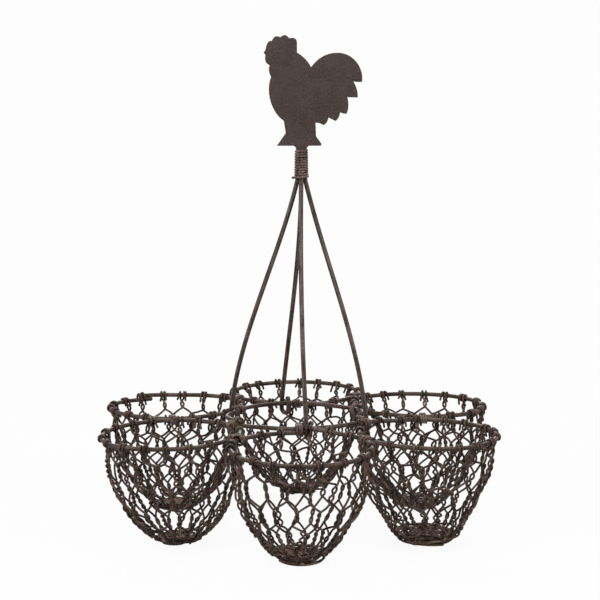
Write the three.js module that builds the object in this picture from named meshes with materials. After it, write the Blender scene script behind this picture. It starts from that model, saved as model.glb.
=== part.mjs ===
import * as THREE from 'three';

// Chicken egg basket: six cups of hexagonal wire netting stand in a ring round a plain centre ring.
// A four-legged wire handle hooks round the centre ring and carries a cut-out rooster.
// Millimetres, +Z up. The basket stands on Z = 0 with its middle on the Z axis and its front towards -Y.

// Rims and cups
const RIM_RADIUS = 33;            // to the middle of the rim wire
const RIM_WIRE = 2;
const RIM_HEIGHT = 54;            // middle of the rim wire above the table
const RIM_GAP = 3.4;              // free space between two neighbouring rims
const CENTRE_RING_RISE = 1.7;     // the centre ring lies this much higher than the rims
const BOWL_SHOULDER = 2;          // exponents of the cup's outline: a higher shoulder is fuller at the top,
const BOWL_TAPER = 0.55;          // and a higher taper is more pointed below

// Hexagonal netting
const NET_COLUMNS = 18;
const NET_ROWS = 4;               // rows of twists and slants between the rim and the last twists
const FIRST_ROW = 0.75;           // length of the row under the rim, as a part of the other rows' length
const SLANT = 0.33;               // length of the slants, as a part of a row's length
const LAST_TWIST_LENGTH = 4.1;    // the last twists start this far above the lip of the gathered base
const TWIST_WIDTH = 1.9;          // two strands side by side
const STRAND_WIDTH = 1;           // one strand
const NET_DEPTH = 1.1;            // of a strand, measured through the cup's wall
const HOOK_CLEARANCE = 0.35;      // between a rim wire and the twist that is hooked over it
const HOOK_TAIL = 1.9;            // the hooked end reaches this far below the middle of the rim wire

// Gathered base of a cup
const BASE_HEIGHT = 7.5;          // its lip above the table
const BASE_KNEE_HEIGHT = 4;       // where its side grows steeper
const BASE_FOOT_HEIGHT = 2;       // top of its upright foot
const BASE_SHELL = 1.3;
const BASE_CLEARANCE = 0.6;       // between the gathered base and the twists that run down its outside

// Handle
const LEG_WIRE = 2;
const LEG_CLEARANCE = 0.3;        // between two legs in the bundle, and between a hook and the centre ring
const HANDLE_LEAN = 1.6;          // the bound end of the handle stands this far right of the middle
const BINDING_HEIGHT = 174;       // lower end of the binding above the table
const BINDING_TURNS = 10;
const BINDING_WIRE = 0.9;
const BINDING_SPACE = 0.46;       // between two turns of the binding
const BINDING_CLEARANCE = 0.3;    // between the binding and the legs inside it
const LEG_TOP_FLARE = 0.25;       // outward travel for each millimetre of drop, below the binding
const LEG_FOOT_FLARE = 0.14;      // and just above the centre ring
const LEG_TOP_LENGTH = 40;        // how far each of these two directions is felt
const LEG_FOOT_LENGTH = 40;
const HOOK_DROP = 2.6;            // middle of the hook's bend below the middle of the centre ring's wire
const HOOK_RISE = 2.6;            // the hook's tip above it
const HOOK_SHIFT = 2.4;           // sideways travel of the hook, along the centre ring

// Rooster plate
const ROOSTER_HEIGHT = 53;        // from the feet to the top of the comb
const PLATE_THICKNESS = 1.5;
const STEM_WIDTH = 5;
const STEM_FILLET = 1;            // where the stem meets the feet
const STEM_SHOWN = 2;             // between the binding and the feet
const STEM_DEPTH = 3.2;           // how far the stem reaches into the binding
const STEM_CLEARANCE = 0.3;       // between the stem's end and the tops of the legs

// Wire ties between neighbouring rings
const TIE_WIRE = 1.1;
const TIE_SPACE = 0.5;            // between two turns of a tie
const TIE_TURNS = 2;
const TIE_CLEARANCE = 0.55;       // between a tie and the ring wires inside it

// Facets
const RING_SIDES = 5;
const LEG_SIDES = 6;
const WINDING_SIDES = 4;
const LEG_STEPS = 11;             // along a leg's bow
const HOOK_STEPS = 6;             // round a hook
const BINDING_STEPS = 10;         // in each turn of the binding
const TIE_STEPS = 3;              // round each end of a tie's turn
const CURVE_STEPS = 4;            // along each curve of the rooster's outline
const OUTLINE_STEPS = 200;        // measuring steps along the cup's outline
const GAP_STEPS = 6;              // measuring steps between two points of a winding

// Worked-out sizes
const RING_SPACING = 2 * RIM_RADIUS + RIM_WIRE + RIM_GAP;
const CENTRE_RING_HEIGHT = RIM_HEIGHT + CENTRE_RING_RISE;
const COLUMN_ANGLE = 2 * Math.PI / NET_COLUMNS;
const BINDING_PITCH = BINDING_WIRE + BINDING_SPACE;
const BINDING_TOP = BINDING_HEIGHT + BINDING_TURNS * BINDING_PITCH;
const LEG_TOP = BINDING_TOP - STEM_DEPTH - STEM_CLEARANCE;
const BUNDLE_RADIUS = (LEG_WIRE + LEG_CLEARANCE) / Math.SQRT2;
const BOUND_RADIUS = Math.max(BUNDLE_RADIUS + LEG_WIRE / 2, Math.hypot(STEM_WIDTH, PLATE_THICKNESS) / 2);
const FEET_HEIGHT = BINDING_TOP + STEM_SHOWN;

const CUPS = [
  { place: 'back_right', angle: 30 },
  { place: 'back', angle: 90 },
  { place: 'back_left', angle: 150 },
  { place: 'front_left', angle: 210 },
  { place: 'front', angle: 270 },
  { place: 'front_right', angle: 330 },
];

// Each leg leaves the bundle at one angle, bows at another and hooks round the centre ring, bent by hand
const LEGS = [
  { place: 'right', bundleAngle: 0, bowAngle: -15, ringAngle: -15, hookTurn: 1 },
  { place: 'back', bundleAngle: 90, bowAngle: 99, ringAngle: 103, hookTurn: -1 },
  { place: 'left', bundleAngle: 180, bowAngle: 168, ringAngle: 168, hookTurn: 1 },
  { place: 'front', bundleAngle: 270, bowAngle: 271, ringAngle: 277, hookTurn: 1 },
];

// Rooster outline seen from the front, anticlockwise from the right foot to the left one, in millimetres
// at the height below: x from the stem's middle, y from the feet's lower edge. Two numbers end a straight
// line, four or six end a curve and hold its control points first.
const OUTLINE_HEIGHT = 53;
const ROOSTER_OUTLINE = [
  // right foot and leg
  [9.1, 0], [10.2, 1.8, 7, 4.6], [6.8, 11.2],
  // tail feathers, from the lowest up
  [9, 11.2, 10.8, 10], [12.8, 11, 13, 13.7],
  [14.8, 12.9, 16.5, 12], [18.4, 13.2, 18.7, 16.2],
  [20.2, 15.5, 21.7, 15.5], [23.6, 18.8, 22.2, 23.5],
  [24.6, 23.2, 26.9, 23.2], [27.6, 27.2, 25, 31],
  [27, 30.6, 29.1, 30.8],
  // back of the tail, over to the notch behind the neck
  [30, 37.6, 25, 45.2, 16.7, 44.8], [9.4, 44.4, 4.6, 37.8],
  // neck and back of the head
  [2.6, 42, -2.2, 45], [-2.1, 49.4],
  // comb
  [-2.2, 52.4, -5.6, 51.5], [-7.6, 54.8, -9.9, 52], [-12.4, 53.6, -13.9, 50.5], [-16.2, 51, -17, 47.6],
  // beak, wattle and throat
  [-17, 46.4], [-18, 44.9], [-17, 43.2], [-18, 39.8, -14.9, 38.6], [-16.4, 36.4, -14.5, 33.3],
  // breast
  [-17.6, 24.4, -13, 15.4, -8.4, 12.3],
  // left leg and foot
  [-7.5, 6.2], [-11.2, 3, -11.6, 0],
];

const radians = THREE.MathUtils.degToRad;
const basket = new THREE.Group();

function finish(color, roughness, metalness) {
  return new THREE.MeshStandardMaterial({ color, roughness, metalness });
}

function addPiece(name, geometry, material) {
  const mesh = new THREE.Mesh(geometry, material);
  mesh.name = name;
  basket.add(mesh);
  return mesh;
}

function polar(radius, angle, height) {
  return new THREE.Vector3(radius * Math.cos(angle), radius * Math.sin(angle), height);
}

// Vertices and triangles of one closed body, gathered piece by piece
class Body {
  positions = [];
  triangles = [];

  vertex(point) {
    this.positions.push(point.x, point.y, point.z);
    return this.positions.length / 3 - 1;
  }

  quad(a, b, c, d) {
    this.triangles.push(a, b, c, a, c, d);
  }

  geometry() {
    const geometry = new THREE.BufferGeometry();
    geometry.setAttribute('position', new THREE.Float32BufferAttribute(this.positions, 3));
    geometry.setIndex(this.triangles);
    geometry.computeVertexNormals();
    return geometry;
  }
}

// A bent round wire with flat ends: its section is carried along the points without twisting
function wire(points, diameter, sides) {
  const body = new Body();
  const count = points.length;
  const tangents = points.map((_, i) => {
    const before = points[Math.max(i - 1, 0)];
    const after = points[Math.min(i + 1, count - 1)];
    return after.clone().sub(before).normalize();
  });
  const across = new THREE.Vector3(0, 0, 1);
  if (Math.abs(tangents[0].z) > 0.9) across.set(1, 0, 0);
  across.addScaledVector(tangents[0], -across.dot(tangents[0])).normalize();
  const turn = new THREE.Quaternion();
  const rings = points.map((point, i) => {
    if (i > 0) across.applyQuaternion(turn.setFromUnitVectors(tangents[i - 1], tangents[i]));
    const other = tangents[i].clone().cross(across);
    return Array.from({ length: sides }, (_, k) => {
      const angle = 2 * Math.PI * k / sides;
      const corner = point.clone();
      corner.addScaledVector(across, diameter / 2 * Math.cos(angle));
      corner.addScaledVector(other, diameter / 2 * Math.sin(angle));
      return body.vertex(corner);
    });
  });
  for (let i = 1; i < count; i++) {
    for (let k = 0; k < sides; k++) {
      const next = (k + 1) % sides;
      body.quad(rings[i - 1][k], rings[i - 1][next], rings[i][next], rings[i][k]);
    }
  }
  for (let k = 1; k < sides - 1; k++) {
    const [first, last] = [rings[0], rings[count - 1]];
    body.triangles.push(first[0], first[k + 1], first[k]);
    body.triangles.push(last[0], last[k], last[k + 1]);
  }
  return body.geometry();
}

// A winding ends in straight runs of one wire diameter
function withStraightEnds(points, diameter) {
  const count = points.length;
  const start = points[0].clone().sub(points[1]).setLength(diameter).add(points[0]);
  const end = points[count - 1].clone().sub(points[count - 2]).setLength(diameter).add(points[count - 1]);
  return [start, ...points, end];
}

// Least free space between two stretches of a winding that lie at least half a turn apart
function leastGap(points, diameter, stepsPerTurn) {
  let least = Infinity;
  const lines = points.slice(1).map((point, i) => new THREE.LineCurve3(points[i], point));
  const fine = lines.flatMap((line) => line.getPoints(GAP_STEPS).slice(1));
  const apart = stepsPerTurn * GAP_STEPS / 2;
  for (let i = 0; i < fine.length; i++) {
    for (let j = i + apart; j < fine.length; j++) least = Math.min(least, fine[i].distanceTo(fine[j]));
  }
  return least - diameter;
}

// The cup's outline: radius and height from the rim (0) down to the foot of the base (1)
class CupOutline extends THREE.Curve {
  getPoint(t, target = new THREE.Vector2()) {
    const depth = t * (1 - BASE_FOOT_HEIGHT / RIM_HEIGHT);
    const radius = RIM_RADIUS * (1 - depth ** BOWL_SHOULDER) ** BOWL_TAPER;
    return target.set(radius, RIM_HEIGHT * (1 - depth));
  }

  lengthToHeight(height) {
    const t = (RIM_HEIGHT - height) / (RIM_HEIGHT - BASE_FOOT_HEIGHT);
    const lengths = this.getLengths(OUTLINE_STEPS);
    const step = Math.min(Math.floor(t * OUTLINE_STEPS), OUTLINE_STEPS - 1);
    return THREE.MathUtils.lerp(lengths[step], lengths[step + 1], t * OUTLINE_STEPS - step);
  }

  // Point at a distance below the rim along the outline, moved outwards through the wall
  offsetPoint(distance, outwards) {
    const share = THREE.MathUtils.clamp(distance / this.getLength(), 0, 1);
    const along = this.getTangentAt(share);
    const point = this.getPointAt(share);
    return point.add(new THREE.Vector2(-along.y, along.x).multiplyScalar(outwards));
  }
}

const outline = new CupOutline();

// Netting of one cup. Every strand has a three-sided section: a flat towards the egg, a ridge outside.
function cupNet() {
  const body = new Body();
  const netLength = outline.lengthToHeight(BASE_HEIGHT) - LAST_TWIST_LENGTH;
  const rowLength = netLength / (NET_ROWS - 1 + FIRST_ROW);
  const slantLength = SLANT * rowLength;

  function onWall(angle, distance, sideways, outwards) {
    const flat = outline.offsetPoint(distance, outwards);
    return body.vertex(polar(flat.x, angle + sideways / flat.x, flat.y));
  }

  // Three strands meet: a twist on one side of the joint (up is -1, down is 1) and two slants opposite
  function joint(angle, distance, twistSide) {
    const radius = outline.offsetPoint(distance, 0).x;
    const slant = Math.atan2(slantLength, radius * COLUMN_ANGLE / 2);
    const run = (TWIST_WIDTH / 2 - Math.sin(slant) * STRAND_WIDTH / 2) / Math.cos(slant);
    const shoulder = Math.cos(slant) * STRAND_WIDTH / 2 - run * Math.sin(slant);
    const crotch = STRAND_WIDTH / (2 * Math.cos(slant));
    return {
      left: onWall(angle, distance + twistSide * shoulder, -TWIST_WIDTH / 2, 0),
      right: onWall(angle, distance + twistSide * shoulder, TWIST_WIDTH / 2, 0),
      tip: onWall(angle, distance - twistSide * crotch, 0, 0),
      ridge: onWall(angle, distance, 0, NET_DEPTH),
    };
  }

  function strand(top, bottom) {
    body.quad(top.ridge, top.left, bottom.left, bottom.ridge);
    body.quad(top.ridge, bottom.ridge, bottom.right, top.right);
    body.quad(top.left, top.right, bottom.right, bottom.left);
  }

  // Twist ends are hooked over the rim wire: a section for each corner of the hook, from its tail on
  function rimHook(angle) {
    const reach = RIM_WIRE / 2 + HOOK_CLEARANCE;
    const corners = [
      { out: -1, up: -HOOK_TAIL / reach, ridgeUp: -HOOK_TAIL / reach },
      { out: -1, up: 1, ridgeUp: 1 + NET_DEPTH / reach },
      { out: 1, up: 1, ridgeUp: 1 + NET_DEPTH / reach },
      { out: 1, up: -1, ridgeUp: -1 },
    ];
    return corners.map(({ out, up, ridgeUp }) => {
      const radius = RIM_RADIUS + out * reach;
      const height = RIM_HEIGHT + up * reach;
      const sideways = TWIST_WIDTH / 2 / radius;
      return {
        left: body.vertex(polar(radius, angle - sideways, height)),
        right: body.vertex(polar(radius, angle + sideways, height)),
        ridge: body.vertex(polar(radius + out * NET_DEPTH, angle, RIM_HEIGHT + ridgeUp * reach)),
      };
    });
  }

  function wallSection(angle, distance) {
    return {
      left: onWall(angle, distance, -TWIST_WIDTH / 2, 0),
      right: onWall(angle, distance, TWIST_WIDTH / 2, 0),
      ridge: onWall(angle, distance, 0, NET_DEPTH),
    };
  }

  const columnAngle = (column, row) => (column + row % 2 / 2) * COLUMN_ANGLE;
  const rowStart = (row) => (row === 0 ? 0 : row - 1 + FIRST_ROW) * rowLength;
  const columns = Array.from({ length: NET_COLUMNS }, (_, column) => column);

  // First row of twists hangs from the rim hooks
  let upper = columns.map((column) => {
    const hook = rimHook(columnAngle(column, 0));
    body.triangles.push(hook[0].left, hook[0].ridge, hook[0].right);
    for (let i = 1; i < hook.length; i++) strand(hook[i - 1], hook[i]);
    return hook[hook.length - 1];
  });

  for (let row = 0; row < NET_ROWS; row++) {
    const rowEnd = rowStart(row + 1);
    const lower = columns.map((column) => joint(columnAngle(column, row), rowEnd - slantLength, -1));
    const next = columns.map((column) => joint(columnAngle(column, row + 1), rowEnd, 1));
    for (const column of columns) {
      const from = lower[column];
      strand(upper[column], from);
      body.triangles.push(from.left, from.right, from.tip);
      const shift = row % 2;
      const toRight = next[(column + shift) % NET_COLUMNS];
      const toLeft = next[(column + shift + NET_COLUMNS - 1) % NET_COLUMNS];
      strand(
        { left: from.tip, right: from.right, ridge: from.ridge },
        { left: toRight.left, right: toRight.tip, ridge: toRight.ridge },
      );
      strand(
        { left: from.left, right: from.tip, ridge: from.ridge },
        { left: toLeft.tip, right: toLeft.right, ridge: toLeft.ridge },
      );
      body.triangles.push(next[column].tip, next[column].right, next[column].left);
    }
    upper = next;
  }

  // Last twists lie against the gathered base
  for (const column of columns) {
    const angle = columnAngle(column, NET_ROWS);
    const knee = wallSection(angle, outline.lengthToHeight(BASE_KNEE_HEIGHT));
    const foot = wallSection(angle, outline.lengthToHeight(BASE_FOOT_HEIGHT));
    strand(upper[column], knee);
    strand(knee, foot);
    body.triangles.push(foot.ridge, foot.left, foot.right);
  }
  return body.geometry();
}

// Bottom of a cup, where the netting is gathered and pressed into a small flat-bottomed dish
function cupBase() {
  const outside = (height) => outline.offsetPoint(outline.lengthToHeight(height), -BASE_CLEARANCE);
  const innerOffset = -BASE_CLEARANCE - BASE_SHELL;
  const inside = (height) => outline.offsetPoint(outline.lengthToHeight(height), innerOffset);
  const foot = outside(BASE_FOOT_HEIGHT);
  const profile = [
    new THREE.Vector2(0, 0),
    new THREE.Vector2(foot.x, 0),
    foot,
    outside(BASE_KNEE_HEIGHT),
    outside(BASE_HEIGHT),
    inside(BASE_HEIGHT),
    inside(BASE_KNEE_HEIGHT),
    new THREE.Vector2(0, BASE_FOOT_HEIGHT),
  ];
  const geometry = new THREE.LatheGeometry(profile, NET_COLUMNS, COLUMN_ANGLE / 2);
  return geometry.rotateX(Math.PI / 2);
}

function ring(height) {
  const geometry = new THREE.TorusGeometry(RIM_RADIUS, RIM_WIRE / 2, RING_SIDES, 2 * NET_COLUMNS);
  return geometry.translate(0, 0, height);
}

// A point round the middle of the handle's bound end
function onHandle(radius, angle, height) {
  return polar(radius, angle, height).setX(HANDLE_LEAN + radius * Math.cos(angle));
}

// One leg: down inside the binding, out in a long bow, then a hook round the centre ring's wire
function handleLeg({ bundleAngle, bowAngle, ringAngle, hookTurn }) {
  const hookRadius = (RIM_WIRE + LEG_WIRE) / 2 + LEG_CLEARANCE;
  const bundle = radians(bundleAngle);
  const landing = radians(ringAngle);
  const landingRadius = RIM_RADIUS + hookRadius;
  const start = onHandle(BUNDLE_RADIUS, bundle, BINDING_HEIGHT - BINDING_WIRE);
  const end = polar(landingRadius, landing, CENTRE_RING_HEIGHT);
  const bow = new THREE.CubicBezierCurve3(
    start,
    onHandle(BUNDLE_RADIUS + LEG_TOP_FLARE * LEG_TOP_LENGTH, bundle, start.z - LEG_TOP_LENGTH),
    polar(landingRadius - LEG_FOOT_FLARE * LEG_FOOT_LENGTH, radians(bowAngle), end.z + LEG_FOOT_LENGTH),
    end,
  );
  const points = [onHandle(BUNDLE_RADIUS, bundle, LEG_TOP), ...bow.getPoints(LEG_STEPS)];
  for (let i = 0; i <= HOOK_STEPS; i++) {
    const angle = Math.PI * i / HOOK_STEPS;
    const sideways = hookTurn * HOOK_SHIFT * i / HOOK_STEPS / RIM_RADIUS;
    const radius = RIM_RADIUS + hookRadius * Math.cos(angle);
    const height = CENTRE_RING_HEIGHT - HOOK_DROP - hookRadius * Math.sin(angle);
    points.push(polar(radius, landing + sideways, height));
  }
  const tip = points[points.length - 1].clone();
  tip.z = CENTRE_RING_HEIGHT + HOOK_RISE;
  points.push(tip);
  return wire(points, LEG_WIRE, LEG_SIDES);
}

// Binding wound round the four legs and the rooster's stem
function neckBinding() {
  const flatRadius = BOUND_RADIUS + BINDING_CLEARANCE + BINDING_WIRE / 2;
  const radius = flatRadius / Math.cos(Math.PI / BINDING_STEPS);
  const points = [];
  for (let i = 0; i <= BINDING_STEPS * BINDING_TURNS; i++) {
    const turn = i / BINDING_STEPS;
    points.push(onHandle(radius, 2 * Math.PI * turn, BINDING_HEIGHT + BINDING_PITCH * turn));
  }
  const gap = leastGap(points, BINDING_WIRE, BINDING_STEPS);
  console.log('neck binding, least gap to itself:', gap.toFixed(3), 'mm');
  return wire(withStraightEnds(points, BINDING_WIRE), BINDING_WIRE, WINDING_SIDES);
}

// Tie wound round two ring wires that pass each other at the ends of a line
function ringTie(from, to, along) {
  const halfTurn = TIE_STEPS + 1;
  const reach = RIM_WIRE / 2 + TIE_CLEARANCE + TIE_WIRE / 2;
  const pitch = TIE_WIRE + TIE_SPACE;
  const line = to.clone().sub(from).normalize();
  const upright = along.clone().cross(line);
  const points = [];
  for (let i = 0; i <= 2 * halfTurn * TIE_TURNS; i++) {
    const turn = i / (2 * halfTurn);
    const atFarEnd = Math.floor(i / halfTurn) % 2 === 0;
    const angle = Math.PI * ((i % halfTurn) / TIE_STEPS - 0.5);
    const side = atFarEnd ? 1 : -1;
    const point = (atFarEnd ? to : from).clone();
    point.addScaledVector(line, side * reach * Math.cos(angle));
    point.addScaledVector(upright, side * reach * Math.sin(angle));
    point.addScaledVector(along, pitch * (turn - TIE_TURNS / 2));
    points.push(point);
  }
  return { points, stepsPerTurn: 2 * halfTurn };
}

// Flat plate cut to the rooster's outline, with a stem that goes down into the binding
function roosterPlate() {
  const scale = ROOSTER_HEIGHT / OUTLINE_HEIGHT;
  const stemSide = STEM_WIDTH / 2;
  const stemEnd = -STEM_SHOWN - STEM_DEPTH;
  const shape = new THREE.Shape();
  shape.moveTo(-stemSide, stemEnd);
  shape.lineTo(stemSide, stemEnd);
  shape.lineTo(stemSide, -STEM_FILLET);
  shape.quadraticCurveTo(stemSide, 0, stemSide + STEM_FILLET, 0);
  for (const step of ROOSTER_OUTLINE) {
    const numbers = step.map((number) => number * scale);
    if (numbers.length === 2) shape.lineTo(...numbers);
    else if (numbers.length === 4) shape.quadraticCurveTo(...numbers);
    else shape.bezierCurveTo(...numbers);
  }
  shape.lineTo(-stemSide - STEM_FILLET, 0);
  shape.quadraticCurveTo(-stemSide, 0, -stemSide, -STEM_FILLET);
  const geometry = new THREE.ExtrudeGeometry(shape, {
    depth: PLATE_THICKNESS,
    bevelEnabled: false,
    curveSegments: CURVE_STEPS,
  });
  geometry.translate(0, 0, -PLATE_THICKNESS / 2);
  return geometry.rotateX(Math.PI / 2).translate(HANDLE_LEAN, 0, FEET_HEIGHT);
}

// Cups with their rims, nets and bases
const cupCentre = (angle) => polar(RING_SPACING, radians(angle), 0);
const rimGeometry = ring(RIM_HEIGHT);
const netGeometry = cupNet();
const baseGeometry = cupBase();
for (const { place, angle } of CUPS) {
  const centre = cupCentre(angle);
  addPiece(`cup_rim_${place}`, rimGeometry.clone(), finish(0x4f443f, 0.6, 0.55)).position.copy(centre);
  addPiece(`cup_net_${place}`, netGeometry.clone(), finish(0x463b37, 0.65, 0.5)).position.copy(centre);
  addPiece(`cup_base_${place}`, baseGeometry.clone(), finish(0x3f342f, 0.7, 0.45)).position.copy(centre);
}

// Centre ring and the handle that hooks round it
addPiece('centre_ring', ring(CENTRE_RING_HEIGHT), finish(0x51463f, 0.6, 0.55));
for (const leg of LEGS) addPiece(`handle_leg_${leg.place}`, handleLeg(leg), finish(0x5a504b, 0.58, 0.55));
addPiece('neck_binding', neckBinding(), finish(0x574b45, 0.6, 0.5));
addPiece('rooster_plate', roosterPlate(), finish(0x4b403e, 0.7, 0.4));

// Ties: each cup to the centre ring, and each cup to the next one round
let tieGap = Infinity;
function addTie(name, from, to, along) {
  const { points, stepsPerTurn } = ringTie(from, to, along);
  tieGap = Math.min(tieGap, leastGap(points, TIE_WIRE, stepsPerTurn));
  const geometry = wire(withStraightEnds(points, TIE_WIRE), TIE_WIRE, WINDING_SIDES);
  addPiece(name, geometry, finish(0x4a3e39, 0.65, 0.5));
}

CUPS.forEach(({ place, angle }, i) => {
  const next = CUPS[(i + 1) % CUPS.length];
  const outwards = polar(1, radians(angle), 0);
  const onCentreRing = outwards.clone().multiplyScalar(RIM_RADIUS).setZ(CENTRE_RING_HEIGHT);
  const onRim = outwards.clone().multiplyScalar(RING_SPACING - RIM_RADIUS).setZ(RIM_HEIGHT);
  addTie(`centre_tie_${place}`, onCentreRing, onRim, polar(1, radians(angle + 90), 0));

  const across = cupCentre(next.angle).sub(cupCentre(angle)).normalize();
  const thisRim = cupCentre(angle).addScaledVector(across, RIM_RADIUS).setZ(RIM_HEIGHT);
  const nextRim = cupCentre(next.angle).addScaledVector(across, -RIM_RADIUS).setZ(RIM_HEIGHT);
  const along = polar(1, radians((angle + next.angle + (next.angle < angle ? 360 : 0)) / 2), 0);
  addTie(`cup_tie_${place}_to_${next.place}`, thisRim, nextRim, along);
});
console.log('ring ties, least gap to themselves:', tieGap.toFixed(3), 'mm');

export default basket;
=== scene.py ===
import math

import bmesh
import bpy
import numpy as np
from mathutils import Euler, Matrix, Vector

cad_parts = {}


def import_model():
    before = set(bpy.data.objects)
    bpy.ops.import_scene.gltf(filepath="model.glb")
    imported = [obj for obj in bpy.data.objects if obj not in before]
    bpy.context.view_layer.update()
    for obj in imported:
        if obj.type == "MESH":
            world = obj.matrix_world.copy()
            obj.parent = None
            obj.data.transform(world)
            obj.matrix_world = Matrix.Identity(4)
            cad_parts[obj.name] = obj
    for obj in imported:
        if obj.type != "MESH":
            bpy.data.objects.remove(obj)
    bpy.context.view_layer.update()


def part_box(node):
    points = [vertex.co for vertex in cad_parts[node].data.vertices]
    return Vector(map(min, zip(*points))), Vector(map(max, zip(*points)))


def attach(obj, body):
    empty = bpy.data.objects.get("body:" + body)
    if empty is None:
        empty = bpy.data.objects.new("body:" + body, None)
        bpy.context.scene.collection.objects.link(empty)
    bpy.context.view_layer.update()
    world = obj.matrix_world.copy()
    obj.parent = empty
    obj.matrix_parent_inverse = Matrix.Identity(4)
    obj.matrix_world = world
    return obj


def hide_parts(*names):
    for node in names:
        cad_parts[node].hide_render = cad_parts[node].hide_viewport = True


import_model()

# Wire egg basket with six cups of hexagonal netting, a hooked handle and a cut-out rooster.
# The CAD nodes give the size and places of the rings and the heights of the binding and the rooster;
# the rest is here.
MM = 0.001

# Wires
RING_WIRE = 2.2 * MM
LEG_WIRE = 2.25 * MM
NET_WIRE = 1.06 * MM
BINDING_WIRE = 1.25 * MM
TIE_WIRE = 1.05 * MM
THICK_SIDES = 12                        # flat sides round a ring's or a leg's wire,
BINDING_SIDES = 10                      # round the binding's
THIN_SIDES = 8                          # and round the thin wires
END_LENGTH = 0.5                        # a rounded end goes on by this part of the wire's radius,
END_RADIUS = 0.55                       # and ends with this part of it
TURN_STEPS = 24                         # points in each turn of a wound wire
STRIP_MARGIN = 0.02                     # free part of a wire's strip of the texture chart, on both sides,
CHART_MARGIN = 0.01                     # and at both ends

# Rings
SOLID_RING_WIRE = 2 * MM                # thickness of the ring wire in the CAD nodes
RING_POINTS = 150
RING_LAP = math.radians(11)             # the two ends of a ring's wire run side by side over this angle,
LAP_OUT = 0.4                           # apart by these parts of the wire's thickness, outwards
LAP_UP = 0.9                            # and up,
RING_EASE = math.radians(45)            # and come together over this angle
RING_TURN = 2 * math.pi + RING_LAP      # the wire's whole way round
LAP_CLEARANCE = math.radians(4)         # this far from a lap, what is wound round starts to clear both ends
RING_WAVE = 0.3 * MM                    # how far a ring strays from a true circle,
RING_WAVES = (2, 3, 5)                  # in so many waves outwards
RING_RISES = (2, 3, 4)                  # and so many up and down
ANY_PHASE = (0, 6.3)                    # a wave starts between these, in radians
TIE_PULL = 1.1 * MM                     # how far a tie draws each ring towards the other,
PULL_ANGLE = math.radians(18)           # and over what angle to each side
CENTRE_LAP = 210                        # where the centre ring's ends lap, in degrees
LEFT_BULGE = 184                        # the centre ring stands out here, in degrees,
BULGE_PULL = 2.2 * MM                   # by this much

# Netting
NET_COLUMNS = 18
NET_ROWS = 4                            # rows of twists and slants between the rim and the last twists
FIRST_ROW = 0.9                         # length of the row under the rim, as a part of the other rows'
SLANT = 0.37                            # length of the slants, as a part of a row's length
LAST_TWIST_LENGTH = 4.1 * MM            # the last twists start this far above the lip of the CAD base
NET_MIDDLE = 0.45 * MM                  # middle of the netting outside the cup's outline
WALL_POINTS = 400
BOWL_SHOULDER = 2                       # powers in the formula of the cup's outline
BOWL_TAPER = 0.585
NECK = 0.075                            # part of its radius by which the netting draws in under the rim,
NECK_ENDS = (0.08, 0.55)                # fully at the first part of the way down, and no more at the second
BOTTOM_HEIGHT = 14.5 * MM               # below this a cup's bottom can be wider than the others
BASE_HEIGHT = 7.5 * MM                  # height of the lip of the CAD base
FOOT_HEIGHT = 2 * MM                    # height where the cup's outline ends
HALF_TURNS = (2, 2, 2, 3)               # a twist has one of these
TWIST_POINTS = 14
TWIST_SPREAD = (0.48 * MM, 0.6 * MM)    # a twisted strand is this far from the middle of its twist
OPEN_SHARE = 0.35                       # part of the twists that stand open,
OPEN_SPREAD = (0.75 * MM, 1.15 * MM)    # and how far,
OPEN_DEPTH = 0.8                        # with this part of it outwards
EYE_DROP = 1.6 * MM                     # under the rim each twist starts this far down, with one open eye
EYE_LENGTH = 6.2 * MM
EYE_SPREAD = (0.5 * MM, 0.78 * MM)
SLANT_POINTS = 4                        # between the ends of a slant
STRAND_STEPS = 2                        # from one point of a strand to the next

# How far the netting strays by chance
COLUMN_STRAY = 0.09                     # a twist's ends sideways, as a part of a column's width
EYE_COLUMN_STRAY = 0.05                 # the lower end of a twist under the rim, likewise
ROW_STRAY = 0.5 * MM                    # a twist's start up and down
LENGTH_STRAY = 0.06                     # a twist's length, as a part of it
EYE_LENGTH_STRAY = 0.1                  # under the rim, likewise
DEPTH_STRAY = 0.45 * MM                 # a twist outwards
SLANT_SAG = 0.3 * MM                    # the middle of a slant up and down,
SLANT_DEPTH = 0.3 * MM                  # outwards
SLANT_BEND = 0.25 * MM                  # and sideways

# Strand ends at the rim
WRAP_GAP = 0.02 * MM                    # between a strand and the rim's wire
WRAP_START = 180                        # a strand goes round the rim's wire from inside the cup,
WRAP_END = -40                          # over it and to here, in degrees from straight outwards,
WRAP_CORNER = 30                        # with a point at each step of so many degrees
DOUBLE_WRAPS = 0.15                     # part of the strands that go round once more
WRAP_STEP = 0.8 * MM                    # sideways travel of a strand for each turn round the rim
TAIL_LENGTH = (2 * MM, 3.8 * MM)        # how far a strand's tail hangs down,
TAIL_SIDEWAYS = (0, 1.4 * MM)           # sideways
TAIL_INWARDS = (-0.2 * MM, 0.8 * MM)    # and inwards,
TAIL_PARTS = np.array((1, 0.5))         # and the parts of that at its two points

# Gathered mat under each cup
MAT_RADIUS = 12.5 * MM
OTHER_MAT_RADII = {"back": 9.5 * MM, "front_right": 14.5 * MM}
MAT_SAG = 2.2 * MM                      # it hangs this far under the cup's outline, or lies on the table
MAT_THICKNESS = 3.2 * MM
MAT_POINTS = 33
MAT_ENTRY = 0.16                        # a strand comes in from the netting over this part of its length,
MAT_SWEEP = (3, 6)                      # and curls through an angle between these, in radians,
MAT_MIDDLE = (0.1, 0.85)                # at a distance between these parts of the mat's radius,
MAT_WAVE = (0.3, 1)                     # in a wave of a part of the room on both sides
MAT_WAVE_ANGLE = (3, 6)                 # that goes through an angle between these, in radians

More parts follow.
